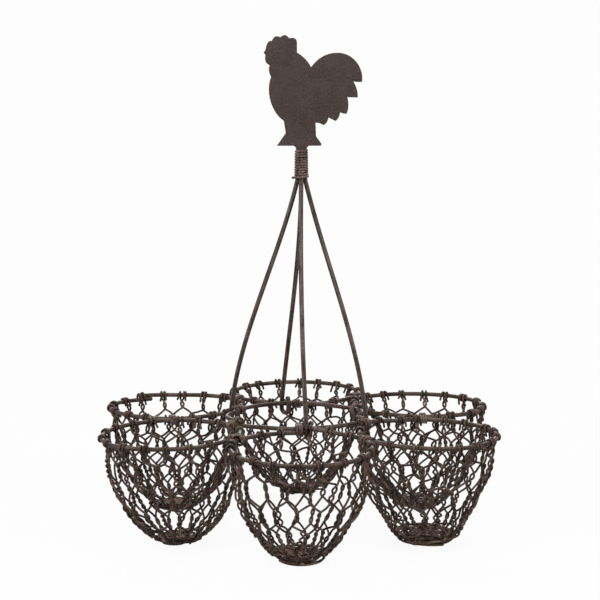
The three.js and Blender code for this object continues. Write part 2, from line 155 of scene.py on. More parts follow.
# Handle
HANDLE_LEAN = 1.45 * MM                 # the bound end of the handle stands this far right of the middle
BINDING_TURNS = 10.5
BINDING_START = math.radians(185)       # where the lowest turn starts
BUNDLE_RADIUS = 0.6 * LEG_WIRE          # from the middle of the handle to the legs' tops,
BUNDLE_FOOT = 0.84 * LEG_WIRE           # and to where the legs leave the binding
LEG_STEPS = 36
LEG_INSIDE = 9 * MM                     # a leg reaches this far up into the binding
LEG_TOP_FLARE = 0.238                   # how far out a leg goes for each length down, under the binding
LEG_FOOT_FLARE = 0.14                   # and above its hook,
LEG_TOP_LENGTH = 40 * MM                # and the lengths over which that shapes its bow
LEG_FOOT_LENGTH = 40 * MM
HOOK_POINTS = 13
HOOK_RADIUS = 2.3 * MM
HOOK_DROP = 2.6 * MM                    # the hook's bend starts this far under the ring's middle,
HOOK_SHIFT = 2.6 * MM                   # runs this far along the ring
HOOK_PRESS = 0.8 * MM                   # and presses the ring in by this much

# The hook's tip: how far inside the ring's wire its points are, and how far above the wire's middle
TIP_RADII = np.array((1, 0.95, 0.4, -0.25)) * HOOK_RADIUS
TIP_HEIGHTS = np.array((0, 1.4, 2.6, 2.4)) * MM
TIP_STEPS = 4

# The binding's radius at the bottom, one turn up and at the top, and the points that its two ends add
BINDING_RADII = (3.35 * MM, 2.95 * MM, 2.7 * MM)
BINDING_FLICK = np.array(((-1, 0.9, -0.2), (-0.4, 0.5, -0.1))) * MM
BINDING_TUCK = np.array(((-0.3, 0.5, 0), (-0.2, 0.9, -0.2))) * MM

# Ties
TIE_TURNS = 3
TIE_STEP = 1.06 * TIE_WIRE              # from one turn to the next
TIE_GAP = 0.03 * MM                     # between a tie and a ring's wire
TIE_PINCH = 0.75                        # between the rings, the loops are this part of their height
TIE_FLICK = (0.9 * MM, 1.8 * MM)        # points of the end that sticks out

# Rooster plate
PLATE_THICKNESS = 1.5 * MM
PLATE_BEVEL = 0.22 * MM
BEVEL_STEPS = 2
SAME_POINT = 0.001 * MM                 # points closer than this become one
SHARP_EDGE = math.radians(25)           # an edge with a larger angle isn't shaded smooth
STEM_HALF = 2.65 * MM
STEM_TIP_HALF = 1.8 * MM                # the hidden end of the stem is narrower
STEM_DEPTH = 3.2 * MM
STEM_SHOWN = 2 * MM
STEM_FILLET = 1 * MM
CURVE_STEPS = 12

# Seeds: the first one of each kind of piece that is shaped by chance
RIM_SEED = 0
CENTRE_RING_SEED = 20
CUP_SEED = 100
CENTRE_TIE_SEED = 200
CUP_TIE_SEED = 310

# Stage, in metres
FLOOR_HALF = 6                          # half the floor's width
WHITE = 0.985                           # brightness of the background to the eye
FLOOR_GLOW = 0.932                      # under the basket the floor glows this much,
FLOOR_SHADE = 0.06                      # and this grey takes the light of the lamps and the shadow
FLOOR_FADE = (0.15, 0.4)                # from the first distance to the second, it turns into the background
FLOOR_GREY = 0.25                       # the floor's grey to all other light
SKY_FILL = 0.025                        # brightness of the background to the object
LAMP_TARGET = Vector((0, 0, 0.1))       # the lamps point here

# Place, power in watts and size of each lamp
LAMPS = {
    "left softbox": ((-1, -0.9, 0.8), 14, 0.5),
    "right softbox": ((1, -0.9, 0.8), 11.7, 0.5),
    "top softbox": ((0, -0.2, 1.3), 4.6, 0.8),
    "back softbox": ((0, 1.3, 0.6), 10, 0.6),
}

# Camera, found from the rings in the photograph; the picture is square
CAMERA_LENS = 137.4                     # in mm
CAMERA_PLACE = Vector((0.8, -1115.5, 272.8)) * MM
CAMERA_PITCH = math.radians(8.12)
CAMERA_TURN = math.radians(-1.06)

# In degrees: each cup's place round the middle, where its rim's wire ends lap, how its netting is turned
CUPS = {"back_right": 30, "back": 90, "back_left": 150, "front_left": 210, "front": 270, "front_right": 330}
LAPS = {"back_right": 210, "back": 330, "back_left": 121, "front_left": 330, "front": 90, "front_right": 150}
NET_TURNS = {"back_right": 0, "back": 7, "back_left": 5, "front_left": 7.5, "front": 5.5, "front_right": 12}

# In mm: how far each cup's rim hangs on the inner and the outer side, and how far its bottom leans right
HANG = {
    "back_right": (-1.1, 0.5, 0.6),
    "back": (-0.5, 0.1, 1.5),
    "back_left": (-0.5, 0.6, 0),
    "front_left": (-0.5, 1.3, 3.3),
    "front": (-1.5, 1.3, -0.5),
    "front_right": (-0.5, 1.3, -0.2),
}

# Cups that are out of shape: how far the right side is pressed in, most of all at 0.7 of the way down,
# and let out under the rim, in mm, and the part of its width by which the bottom is wider
MISSHAPEN = {"back_right": (0, 1.5, 0), "front": (0, 0, 0.06), "front_right": (4.2, 1.2, 0.25)}

# Each leg's angle in the bundle, in its bow and on the centre ring, in degrees, and the way its hook goes
LEGS = {
    "right": (0, -13, -20.5, 1),
    "back": (90, 98, 103, -1),
    "left": (180, 167, 159.5, 1),
    "front": (266, 272, 275.4, 1),
}

# Rooster outline in millimetres, a little closer to the photograph than the CAD plate's:
# two numbers end a line, four or six end a curve
ROOSTER_OUTLINE = [
    # right foot and leg
    [9.4, 0], [9.9, 0.8], [7.2, 4.6], [6.9, 11.2],
    # tail feathers, from the lowest up
    [9, 11.2, 10.8, 10], [12.8, 11, 13.2, 13.7],
    [14.8, 12.9, 16.6, 12], [18.4, 13.2, 18.9, 16.2],
    [20.4, 15.5, 22, 15.5], [23.6, 18.8, 22.4, 23.6],
    [24.8, 23.4, 27.4, 23.5], [27.6, 27.4, 25.3, 31.2],
    [27.2, 30.8, 29.5, 31],
    # back of the tail, over to the notch behind the neck
    [30.5, 37.8, 25.2, 45.5, 16.8, 45.1], [9.4, 44.7, 4.7, 38.1],
    # neck and back of the head
    [2.7, 42.3, -2.1, 45.2], [-2.1, 49.9],
    # comb
    [-2.3, 53, -5.9, 52.1], [-7.9, 54.9, -10.2, 52.5],
    [-12.9, 54.2, -14.3, 50.8], [-16.6, 51.2, -17.2, 47.3],
    # beak, wattle and throat
    [-17.4, 46.5], [-18.3, 45.2], [-17.4, 43.9], [-18.2, 40.1, -15.4, 39.1], [-16.4, 36.4, -14.7, 33.5],
    # breast
    [-17.9, 25.4, -13.7, 15.2, -8.6, 12.2],
    # left leg and foot
    [-7.6, 6.2], [-11.9, 0],
]


def middle(node):
    low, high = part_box(node)
    return np.array((low + high) / 2)


def unit(vectors):
    return vectors / np.linalg.norm(vectors, axis=-1, keepdims=True)


def polar(radius, angle, height):
    return np.stack(np.broadcast_arrays(radius * np.cos(angle), radius * np.sin(angle), height), -1)


def ease(values):
    """From 0 to 1, flat at both ends."""
    share = np.clip(values, 0, 1)
    return share * share * (3 - 2 * share)


def smooth(points, steps):
    """Points of a curve that runs through the given ones."""
    path = np.asarray(points, float)
    path = np.vstack([2 * path[0] - path[1], path, 2 * path[-1] - path[-2]])
    t = (np.arange(steps) / steps)[None, :, None]
    spans = (path[:-3], path[1:-2], path[2:-1], path[3:])
    before, start, end, after = (span[:, None, :] for span in spans)
    square = 2 * before - 5 * start + 4 * end - after
    cube = 3 * (start - end) + after - before
    curve = start + 0.5 * t * (end - before + t * (square + t * cube))
    return np.vstack([curve.reshape(-1, path.shape[1]), path[-2]])


def bezier(*controls, steps):
    """Points of a quadratic or cubic curve."""
    t = np.linspace(0, 1, steps + 1)[:, None]
    rows = [np.asarray(point, float)[None, :] for point in controls]
    while len(rows) > 1:
        rows = [first * (1 - t) + second * t for first, second in zip(rows, rows[1:])]
    return rows[0]


class Wires:
    """Round wires with rounded ends, gathered into one mesh."""

    def __init__(self, sides):
        self.sides = sides
        self.runs = []

    def add(self, points, diameter):
        points = np.asarray(points, float)
        radius = diameter / 2
        along = unit(np.gradient(points, axis=0))
        start = points[0] - END_LENGTH * radius * along[0]
        end = points[-1] + END_LENGTH * radius * along[-1]
        points = np.vstack([start, points, end])
        along = np.vstack([along[0], along, along[-1]])
        radii = np.full(len(points), radius)
        radii[[0, -1]] *= END_RADIUS
        self.runs.append((points, along, radii))

    def sections(self, points, along, radii):
        """Corners of the wire's sections, carried along without twisting."""
        starts_upright = abs(along[0, 2]) > 0.9
        across = np.array((1.0, 0.0, 0.0) if starts_upright else (0.0, 0.0, 1.0))
        frames = np.empty_like(points)
        for i, direction in enumerate(along):
            across = across - direction * across.dot(direction)
            across = across / math.sqrt(across.dot(across))
            frames[i] = across
        other = np.cross(along, frames)
        turn = 2 * math.pi * np.arange(self.sides) / self.sides
        ring = np.cos(turn)[:, None] * frames[:, None, :] + np.sin(turn)[:, None] * other[:, None, :]
        return points[:, None, :] + radii[:, None, None] * ring

    def build(self, name, material, slot, *nodes):
        """One mesh of all the wires, each with its own strip of the texture chart."""
        sides = self.sides
        strips = len(self.runs)
        vertices, faces, chart = [], [], []
        start = 0
        for strip, (points, along, radii) in enumerate(self.runs):
            count = len(points)
            vertices.append(self.sections(points, along, radii).reshape(-1, 3))
            steps = np.linalg.norm(np.diff(points, axis=0), axis=1)
            travel = np.concatenate([[0], np.cumsum(steps)]) / steps.sum()
            i = np.repeat(np.arange(count - 1), sides)
            k = np.tile(np.arange(sides), count - 1)
            after = (k + 1) % sides
            above = i * sides + start
            below = above + sides
            faces += np.stack([above + k, above + after, below + after, below + k], 1).tolist()
            u = np.stack([k, k + 1, k + 1, k], 1) / sides * (1 - 2 * STRIP_MARGIN) + STRIP_MARGIN
            v = np.stack([travel[i], travel[i], travel[i + 1], travel[i + 1]], 1)
            v = v * (1 - 2 * CHART_MARGIN) + CHART_MARGIN
            chart.append(np.stack([(u + strip) / strips, v], 2).reshape(-1, 2))
            last = start + (count - 1) * sides
            faces.append(list(range(start + sides - 1, start - 1, -1)))
            faces.append(list(range(last, last + sides)))
            ends = [((strip + 0.5) / strips, height) for height in (CHART_MARGIN / 2, 1 - CHART_MARGIN / 2)]
            chart.append(np.repeat(ends, sides, 0))
            start += count * sides
        mesh = bpy.data.meshes.new(name)
        mesh.from_pydata(np.vstack(vertices), [], faces)
        layer = mesh.uv_layers.new(name="OFBake")
        layer.data.foreach_set("uv", np.vstack(chart).astype(np.float32).ravel())
        mesh.shade_smooth()
        add_piece(name, mesh, material, slot, *nodes)


def add_piece(name, mesh, material, slot, *nodes):
    """A finished mesh becomes a piece that stands for CAD nodes."""
    mesh.materials.append(material)
    piece = bpy.data.objects.new(name, mesh)
    bpy.context.scene.collection.objects.link(piece)
    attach(piece, "root")
    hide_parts(*nodes)


# Materials

def linear(*levels):
    """Linear colour of an sRGB colour given in levels up to 255."""
    parts = [level / 255 for level in levels]
    return (*(p / 12.92 if p <= 0.04045 else ((p + 0.055) / 1.055) ** 2.4 for p in parts), 1)


def patina(name, dark, light, roughness, specks_scale, bump, specks_share=0.55, streaks=None):
    """Rust-brown finish: cloudy tone with fine specks, and a slightly pitted surface.

    A drawn wire also has streaks: how many across it and along it, and their share of the tone.
    """
    material = bpy.data.materials.new(name)
    material.use_nodes = True
    nodes, links = material.node_tree.nodes, material.node_tree.links
    shader = nodes["Principled BSDF"]
    shader.inputs["Metallic"].default_value = 0.05
    shader.inputs["Specular IOR Level"].default_value = 0.1 if streaks else 0.2
    place = nodes.new("ShaderNodeTexCoord")

    def noise(vector, scale, detail):
        texture = nodes.new("ShaderNodeTexNoise")
        texture.inputs["Scale"].default_value = scale
        texture.inputs["Detail"].default_value = detail
        texture.inputs["Roughness"].default_value = 0.6
        links.new(vector, texture.inputs["Vector"])
        return texture.outputs["Fac"]

    def mix(first, second, share):
        blend = nodes.new("ShaderNodeMix")
        blend.data_type = "FLOAT"
        blend.inputs["Factor"].default_value = share
        links.new(first, blend.inputs["A"])
        links.new(second, blend.inputs["B"])
        return blend.outputs["Result"]

    clouds = noise(place.outputs["Object"], scale=140, detail=4)
    specks = noise(place.outputs["Object"], specks_scale, detail=3)
    tone = mix(clouds, specks, specks_share)
    if streaks:
        across, along, share = streaks
        chart = nodes.new("ShaderNodeUVMap")
        chart.uv_map = "OFBake"
        stretch = nodes.new("ShaderNodeMapping")
        stretch.inputs["Scale"].default_value = (across, along, 1)
        links.new(chart.outputs["UV"], stretch.inputs["Vector"])
        drawn = noise(stretch.outputs["Vector"], scale=1, detail=2)
        tone = mix(tone, drawn, share)
    colours = nodes.new("ShaderNodeValToRGB")
    colours.color_ramp.elements[0].position = 0.4
    colours.color_ramp.elements[0].color = linear(*dark)
    colours.color_ramp.elements[1].position = 0.62
    colours.color_ramp.elements[1].color = linear(*light)
    links.new(tone, colours.inputs["Fac"])
    links.new(colours.outputs["Color"], shader.inputs["Base Color"])

    sheen = nodes.new("ShaderNodeMapRange")
    sheen.inputs["From Min"].default_value = 0.3
    sheen.inputs["From Max"].default_value = 0.7
    sheen.inputs["To Min"].default_value = roughness - 0.1
    sheen.inputs["To Max"].default_value = roughness + 0.1
    links.new(specks, sheen.inputs["Value"])
    links.new(sheen.outputs["Result"], shader.inputs["Roughness"])

    relief = nodes.new("ShaderNodeBump")
    relief.inputs["Strength"].default_value = 0.5
    relief.inputs["Distance"].default_value = bump
    links.new(tone, relief.inputs["Height"])
    links.new(relief.outputs["Normal"], shader.inputs["Normal"])
    return material


RING_FINISH = patina("ring patina", (38, 28, 24), (108, 92, 84), 0.47, 900, 0.05 * MM, streaks=(6, 16, 0.5))
NET_FINISH = patina("net patina", (24, 14, 11), (113, 94, 84), 0.5, 1400, 0.03 * MM, streaks=(40, 8, 0.5))
MAT_FINISH = patina("mat patina", (22, 11, 8), (138, 113, 102), 0.62, 1400, 0.03 * MM, streaks=(40, 4, 0.6))
LEG_FINISH = patina("leg patina", (54, 43, 38), (118, 105, 98), 0.45, 800, 0.05 * MM, streaks=(6, 9, 0.55))
BINDING_FINISH = patina("binding patina", (42, 29, 25), (134, 113, 104), 0.55, 900, 0.05 * MM)
ROOSTER_FINISH = patina("rooster patina", (57, 47, 45), (83, 71, 68), 0.62, 1500, 0.06 * MM, 0.75)


# Rings: an open wire whose ends lie side by side, bent into a slightly uneven circle

SOLID_LOW, SOLID_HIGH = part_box("cup_rim_front")
RIM_RADIUS = (SOLID_HIGH.x - SOLID_LOW.x - SOLID_RING_WIRE) / 2
RIM_HEIGHT = middle("cup_rim_front")[2]
CENTRES = {place: middle(f"cup_rim_{place}") * (1, 1, 0) for place in CUPS}


def neck(depth):
    """How much of the draw under the rim is felt at a part of the way down."""
    return ease(depth / NECK_ENDS[0]) * (1 - ease(depth / NECK_ENDS[1]))


def settle(points, place):
    """Moves a cup's points to their place: its rim isn't quite level, and it may lean or be out of shape."""
    angle = math.radians(CUPS[place])
    outwards = points[:, 0] * math.cos(angle) + points[:, 1] * math.sin(angle)
    inner, outer, lean = HANG[place]
    dent, let_out, wider = MISSHAPEN.get(place, (0, 0, 0))
    depth = 1 - points[:, 2] / RIM_HEIGHT
    moved = points + CENTRES[place]
    moved[:, 2] -= MM * (1 - depth) * np.interp(outwards, (-RIM_RADIUS, RIM_RADIUS), (inner, outer))
    right_side = np.clip(points[:, 0] / RIM_RADIUS, 0, 1)
    pushed = let_out * neck(depth) - dent * np.sin(math.pi * depth ** 2)
    moved[:, 0] += MM * (depth * lean + right_side * pushed)
    moved[:, :2] += points[:, :2] * wider * (1 - ease(points[:, 2:] / BOTTOM_HEIGHT))
    return moved


class Ring:
    """A wire with lapped ends, drawn out at some angles; the lap's angle and those are given in degrees."""

    def __init__(self, lap, height, pulls, seed):
        rng = np.random.default_rng(seed)
        self.start = math.radians(lap) - RING_LAP / 2
        self.height = height
        self.pulls = {math.radians(angle): pull for angle, pull in pulls.items()}
        self.waves = [(k, rng.uniform(*ANY_PHASE)) for k in RING_WAVES]
        self.rises = [(k, rng.uniform(*ANY_PHASE)) for k in RING_RISES]

    def shift(self, turn):
        """How far the wire is off its line, to one side at its start and to the other at its end."""
        return RING_WIRE / 2 * (ease((turn - RING_TURN) / RING_EASE + 1) + ease(turn / RING_EASE) - 1)

    def place(self, angle, shift):
        """Radius and height of the wire at an angle, when it is so far off its line."""
        radius = RIM_RADIUS
        for pulled, pull in self.pulls.items():
            apart = np.angle(np.exp(1j * (angle - pulled)))
            radius = radius + pull * np.exp(-(apart / PULL_ANGLE) ** 2)
        wave = sum(np.sin(k * angle + phase) * RING_WAVE / k for k, phase in self.waves)
        rise = sum(np.sin(k * angle + phase) * RING_WAVE / k for k, phase in self.rises)
        return radius + wave + LAP_OUT * shift, self.height + rise + LAP_UP * shift

    def at(self, angle):
        """Radius and height of the wire at an angle, and half of what its ends are apart where they lap."""
        turn = (angle - self.start) % (2 * math.pi)
        here = self.shift(turn)
        other_end = self.shift(np.where(turn < math.pi, turn + 2 * math.pi, turn - 2 * math.pi))
        from_lap = np.abs(np.angle(np.exp(1j * (turn - RING_LAP / 2)))) - RING_LAP / 2
        half = (other_end - here) / 2 * (1 - ease(from_lap / LAP_CLEARANCE))
        return *self.place(angle, here + half), np.abs(half)

    def points(self):
        turn = np.linspace(0, RING_TURN, RING_POINTS)
        angle = self.start + turn
        radius, height = self.place(angle, self.shift(turn))
        return polar(radius, angle, height)


def rim(place, seed):
    """A cup's rim, drawn out by the ties to the centre ring and to both its neighbours."""
    angle = CUPS[place]
    pulls = dict.fromkeys((angle + 180, angle + 120, angle - 120), TIE_PULL)
    return Ring(LAPS[place], RIM_HEIGHT, pulls, seed)


def centre_ring():
    """The ring in the middle, drawn out by the ties and at its left side, and pressed in by the hooks."""
    pulls = dict.fromkeys(CUPS.values(), TIE_PULL)
    pulls.update((ring_angle, -HOOK_PRESS) for _, _, ring_angle, _ in LEGS.values())
    pulls[LEFT_BULGE] = BULGE_PULL
    return Ring(CENTRE_LAP, middle("centre_ring")[2], pulls, CENTRE_RING_SEED)


RIMS = {place: rim(place, seed) for seed, place in enumerate(CUPS, RIM_SEED)}
CENTRE_RING = centre_ring()

for place, ring in RIMS.items():
    wire = Wires(THICK_SIDES)
    wire.add(settle(ring.points(), place), RING_WIRE)
    wire.build(f"rim_{place}", RING_FINISH, "ring_wire", f"cup_rim_{place}")

wire = Wires(THICK_SIDES)
wire.add(CENTRE_RING.points(), RING_WIRE)
wire.build("centre_ring_wire", RING_FINISH, "ring_wire", "centre_ring")


# Cups: each strand runs from its end at the rim down to the mat, twisting with one neighbour after the other

depths = np.linspace(0, 1 - FOOT_HEIGHT / RIM_HEIGHT, WALL_POINTS)
wall_radii = RIM_RADIUS * (1 - depths ** BOWL_SHOULDER) ** BOWL_TAPER
wall_radii *= 1 - NECK * neck(depths)
wall_heights = RIM_HEIGHT * (1 - depths)
wall_travel = np.concatenate([[0], np.cumsum(np.hypot(np.diff(wall_radii), np.diff(wall_heights)))])
wall_slopes = unit(np.stack([np.gradient(wall_radii), np.gradient(wall_heights)], 1))
COLUMN_ANGLE = 2 * math.pi / NET_COLUMNS
NET_LENGTH = float(np.interp(-BASE_HEIGHT, -wall_heights, wall_travel)) - LAST_TWIST_LENGTH
ROW_LENGTH = NET_LENGTH / (NET_ROWS - 1 + FIRST_ROW)


def wall_point(angle, travel, sideways=0.0, outwards=0.0):
    """A point of a cup's wall, from its angle and its way down from the rim."""
    radius = np.interp(travel, wall_travel, wall_radii)
    height = np.interp(travel, wall_travel, wall_heights)
    slope_in = np.interp(travel, wall_travel, wall_slopes[:, 0])
    slope_down = np.interp(travel, wall_travel, wall_slopes[:, 1])
    out = NET_MIDDLE + outwards
    return polar(radius - slope_down * out, angle + sideways / radius, height + slope_in * out)


class Twist:
    """Two strands wound round each other, from a joint above to one below."""

    def __init__(self, rng, row, column, turn):
        self.angles = turn + (column + row % 2 / 2 + rng.normal(0, COLUMN_STRAY, 2)) * COLUMN_ANGLE
        self.phases = (0.5 * math.pi, (0.5 + rng.choice(HALF_TURNS)) * math.pi)
        self.spread = rng.uniform(*(OPEN_SPREAD if rng.random() < OPEN_SHARE else TWIST_SPREAD))
        self.way = rng.choice((-1, 1))
        self.depth = rng.normal(0, DEPTH_STRAY)
        top = (row - 1 + FIRST_ROW) * ROW_LENGTH + rng.normal(0, ROW_STRAY)
        length = (1 - SLANT) * ROW_LENGTH * rng.normal(1, LENGTH_STRAY)
        if row == 0:
            top = EYE_DROP
            length = EYE_LENGTH * rng.normal(1, EYE_LENGTH_STRAY)
            self.angles = self.angles[0] + np.array([0, rng.normal(0, EYE_COLUMN_STRAY) * COLUMN_ANGLE])
            self.phases = (0, 1.5 * math.pi)
            self.spread = rng.uniform(*EYE_SPREAD)
        self.travel = (top, top + length)

    def leaving(self, side):
        """The side that a strand leaves to, from the side that it came from."""
        return -side * round(math.sin(self.phases[1]))

    def outwards(self, side, phase):
        """How far outwards the strand on one side is, at an angle of its winding."""
        return self.depth + side * self.way * max(NET_WIRE / 2, OPEN_DEPTH * self.spread) * np.sin(phase)

    def strand(self, side, turned):
        """Points of the strand that starts on one side; turned is whole turns round the cup."""
        t = np.linspace(0, 1, TWIST_POINTS)
        phase = self.phases[0] + (self.phases[1] - self.phases[0]) * t
        angle = self.angles[0] + (self.angles[1] - self.angles[0]) * t + turned
        travel = self.travel[0] + (self.travel[1] - self.travel[0]) * t
        return wall_point(angle, travel, side * self.spread * np.cos(phase), self.outwards(side, phase))


def slant(rng, twist, side, turned, following, side_after, turned_after):
    """A single strand between two twists, bent a little by hand."""
    t = np.linspace(0, 1, SLANT_POINTS + 2)[1:-1]
    bend = np.sin(math.pi * t)
    angle = twist.angles[1] + turned + (following.angles[0] + turned_after - twist.angles[1] - turned) * t
    travel = twist.travel[1] + (following.travel[0] - twist.travel[1]) * t + bend * rng.normal(0, SLANT_SAG)
    before = twist.outwards(side, twist.phases[1])
    after = following.outwards(side_after, following.phases[0])
    outwards = before * (1 - t) + after * t + bend * rng.normal(0, SLANT_DEPTH)
    return wall_point(angle, travel, bend * rng.normal(0, SLANT_BEND), outwards)


def rim_wrap(rng, twist, side, ring):
    """The strand's end: a tail inside the cup, turns round the rim wire, then down to the first twist."""
    reach = (RING_WIRE + NET_WIRE) / 2 + WRAP_GAP
    start = WRAP_START + 360 * int(rng.random() < DOUBLE_WRAPS)
    turn = np.radians(np.arange(WRAP_END, start + 1, WRAP_CORNER)[::-1])
    turns = (turn - turn[-1]) / (2 * math.pi)
    angle = twist.angles[0] + side * (twist.spread + WRAP_STEP * turns) / RIM_RADIUS
    radius, height, lapped = ring.at(angle)
    wrap_out = (reach + LAP_OUT * lapped) * np.cos(turn)
    wrap_up = (reach + LAP_UP * lapped) * np.sin(turn)
    wrap = polar(radius + wrap_out, angle, height + wrap_up)
    tail_angle = angle[0] + side * rng.uniform(*TAIL_SIDEWAYS) * TAIL_PARTS / RIM_RADIUS
    tail_radius = radius[0] - reach - rng.uniform(*TAIL_INWARDS) * TAIL_PARTS
    tail = polar(tail_radius, tail_angle, height[0] - rng.uniform(*TAIL_LENGTH) * TAIL_PARTS)
    return np.vstack([tail, wrap])


def mat_height(radius):
    """Height of the lowest wires of the mat, at a distance from the cup's middle."""
    wall = np.interp(radius, wall_radii[::-1], wall_heights[::-1])
    return np.maximum(NET_WIRE / 2, wall - MAT_SAG)


def mat_strand(rng, start, reach):
    """A strand's end, curled into the flat nest under its cup."""
    t = np.linspace(0, 1, MAT_POINTS)
    came_in = ease(t / MAT_ENTRY)
    angle = math.atan2(start[1], start[0]) + rng.choice((-1, 1)) * rng.uniform(*MAT_SWEEP) * t
    middle_radius = reach * rng.uniform(*MAT_MIDDLE)
    wave = rng.uniform(*MAT_WAVE) * min(middle_radius, reach - middle_radius)
    curl = middle_radius + wave * np.sin(rng.uniform(*MAT_WAVE_ANGLE) * t + rng.uniform(*ANY_PHASE))
    radius = math.hypot(start[0], start[1]) * (1 - came_in) + curl * came_in
    layer = MAT_THICKNESS * np.interp(t, (0, 0.5, 1), rng.uniform(0, 1, 3))
    height = start[2] * (1 - came_in) + (mat_height(radius) + layer) * came_in
    return polar(radius, angle, height)


def cup(place, seed):
    """A cup's netting and mat; each strand goes on to the next twist on the side that it leaves to."""
    rng = np.random.default_rng(seed)
    turn = math.radians(NET_TURNS[place])
    rows, columns = range(NET_ROWS + 1), range(NET_COLUMNS)
    twists = [[Twist(rng, row, column, turn) for column in columns] for row in rows]
    net, mat = Wires(THIN_SIDES), Wires(THIN_SIDES)
    reach = OTHER_MAT_RADII.get(place, MAT_RADIUS)
    for first in columns:
        for side in (-1, 1):
            column, here = first, side
            points = [rim_wrap(rng, twists[0][first], side, RIMS[place])]
            for row in rows:
                twist = twists[row][column % NET_COLUMNS]
                turned = (column // NET_COLUMNS) * 2 * math.pi
                points.append(twist.strand(here, turned))
                leaving = twist.leaving(here)
                if row == NET_ROWS:
                    break
                column += (leaving > 0) - (row % 2 == 0)
                following = twists[row + 1][column % NET_COLUMNS]
                turned_after = (column // NET_COLUMNS) * 2 * math.pi
                points.append(slant(rng, twist, here, turned, following, -leaving, turned_after))
                here = -leaving
            strand = np.vstack(points)
            net.add(settle(smooth(strand, STRAND_STEPS), place), NET_WIRE)
            mat.add(settle(mat_strand(rng, strand[-1], reach), place), NET_WIRE)
    net.build(f"net_{place}", NET_FINISH, "net_wire", f"cup_net_{place}")
    mat.build(f"mat_{place}", MAT_FINISH, "gathered_net", f"cup_base_{place}")


for seed, place in enumerate(CUPS, CUP_SEED):
    cup(place, seed)


# Handle: four legs, the binding round their tops, and the rooster

binding_low, binding_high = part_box("neck_binding")
BINDING_BOTTOM = binding_low.z + BINDING_WIRE / 2
BINDING_TOP = binding_high.z - BINDING_WIRE / 2


def on_handle(radius, angle, height):
    """A point round the middle of the handle's bound end."""
    return polar(radius, angle, height) + (HANDLE_LEAN, 0, 0)


def leg(place, bundle_angle, bow_angle, ring_angle, hook_turn):
    """Down inside the binding, out in a long bow, then a hook round the centre ring's wire."""
    bundle, bowed, landing = (math.radians(angle) for angle in (bundle_angle, bow_angle, ring_angle))
    ring_radius, ring_height, _ = CENTRE_RING.at(landing + hook_turn * HOOK_SHIFT / RIM_RADIUS / 2)
    radius = ring_radius + HOOK_RADIUS
    start = on_handle(BUNDLE_FOOT, bundle, BINDING_BOTTOM - BINDING_WIRE)
    end = polar(radius, landing, ring_height)
    bow = bezier(
        start,
        on_handle(BUNDLE_FOOT + LEG_TOP_FLARE * LEG_TOP_LENGTH, bundle, start[2] - LEG_TOP_LENGTH),
        polar(radius - LEG_FOOT_FLARE * LEG_FOOT_LENGTH, bowed, ring_height + LEG_FOOT_LENGTH),
        end,
        steps=LEG_STEPS,
    )
    turn = np.linspace(0, math.pi, HOOK_POINTS)
    sideways = hook_turn * HOOK_SHIFT / RIM_RADIUS * (1 - np.cos(turn)) / 2
    hook = polar(
        ring_radius + HOOK_RADIUS * np.cos(turn),
        landing + sideways,
        ring_height - HOOK_DROP - HOOK_RADIUS * np.sin(turn),
    )
    tip = polar(ring_radius - TIP_RADII, landing + sideways[-1], ring_height + TIP_HEIGHTS)
    tip = smooth(np.vstack([hook[-1], tip]), TIP_STEPS)[1:]
    top = on_handle(BUNDLE_RADIUS, bundle, BINDING_BOTTOM + LEG_INSIDE)
    wire = Wires(THICK_SIDES)
    wire.add(np.vstack([top, bow, hook, tip]), LEG_WIRE)
    wire.build(f"leg_{place}", LEG_FINISH, "handle_wire", f"handle_leg_{place}")


def binding():
    """Turns close together, narrower round the stem; both ends stick out a little."""
    turn = np.linspace(0, BINDING_TURNS, int(BINDING_TURNS * TURN_STEPS) + 1)
    share = turn / BINDING_TURNS
    radius = np.interp(turn, (0, 1, BINDING_TURNS), BINDING_RADII)
    height = BINDING_BOTTOM + (BINDING_TOP - BINDING_BOTTOM) * share
    angle = BINDING_START + 2 * math.pi * turn
    points = on_handle(radius, angle, height)
    wire = Wires(BINDING_SIDES)
    wire.add(np.vstack([points[0] + BINDING_FLICK, points, points[-1] + BINDING_TUCK]), BINDING_WIRE)
    wire.build("binding", BINDING_FINISH, "binding_wire", "neck_binding")


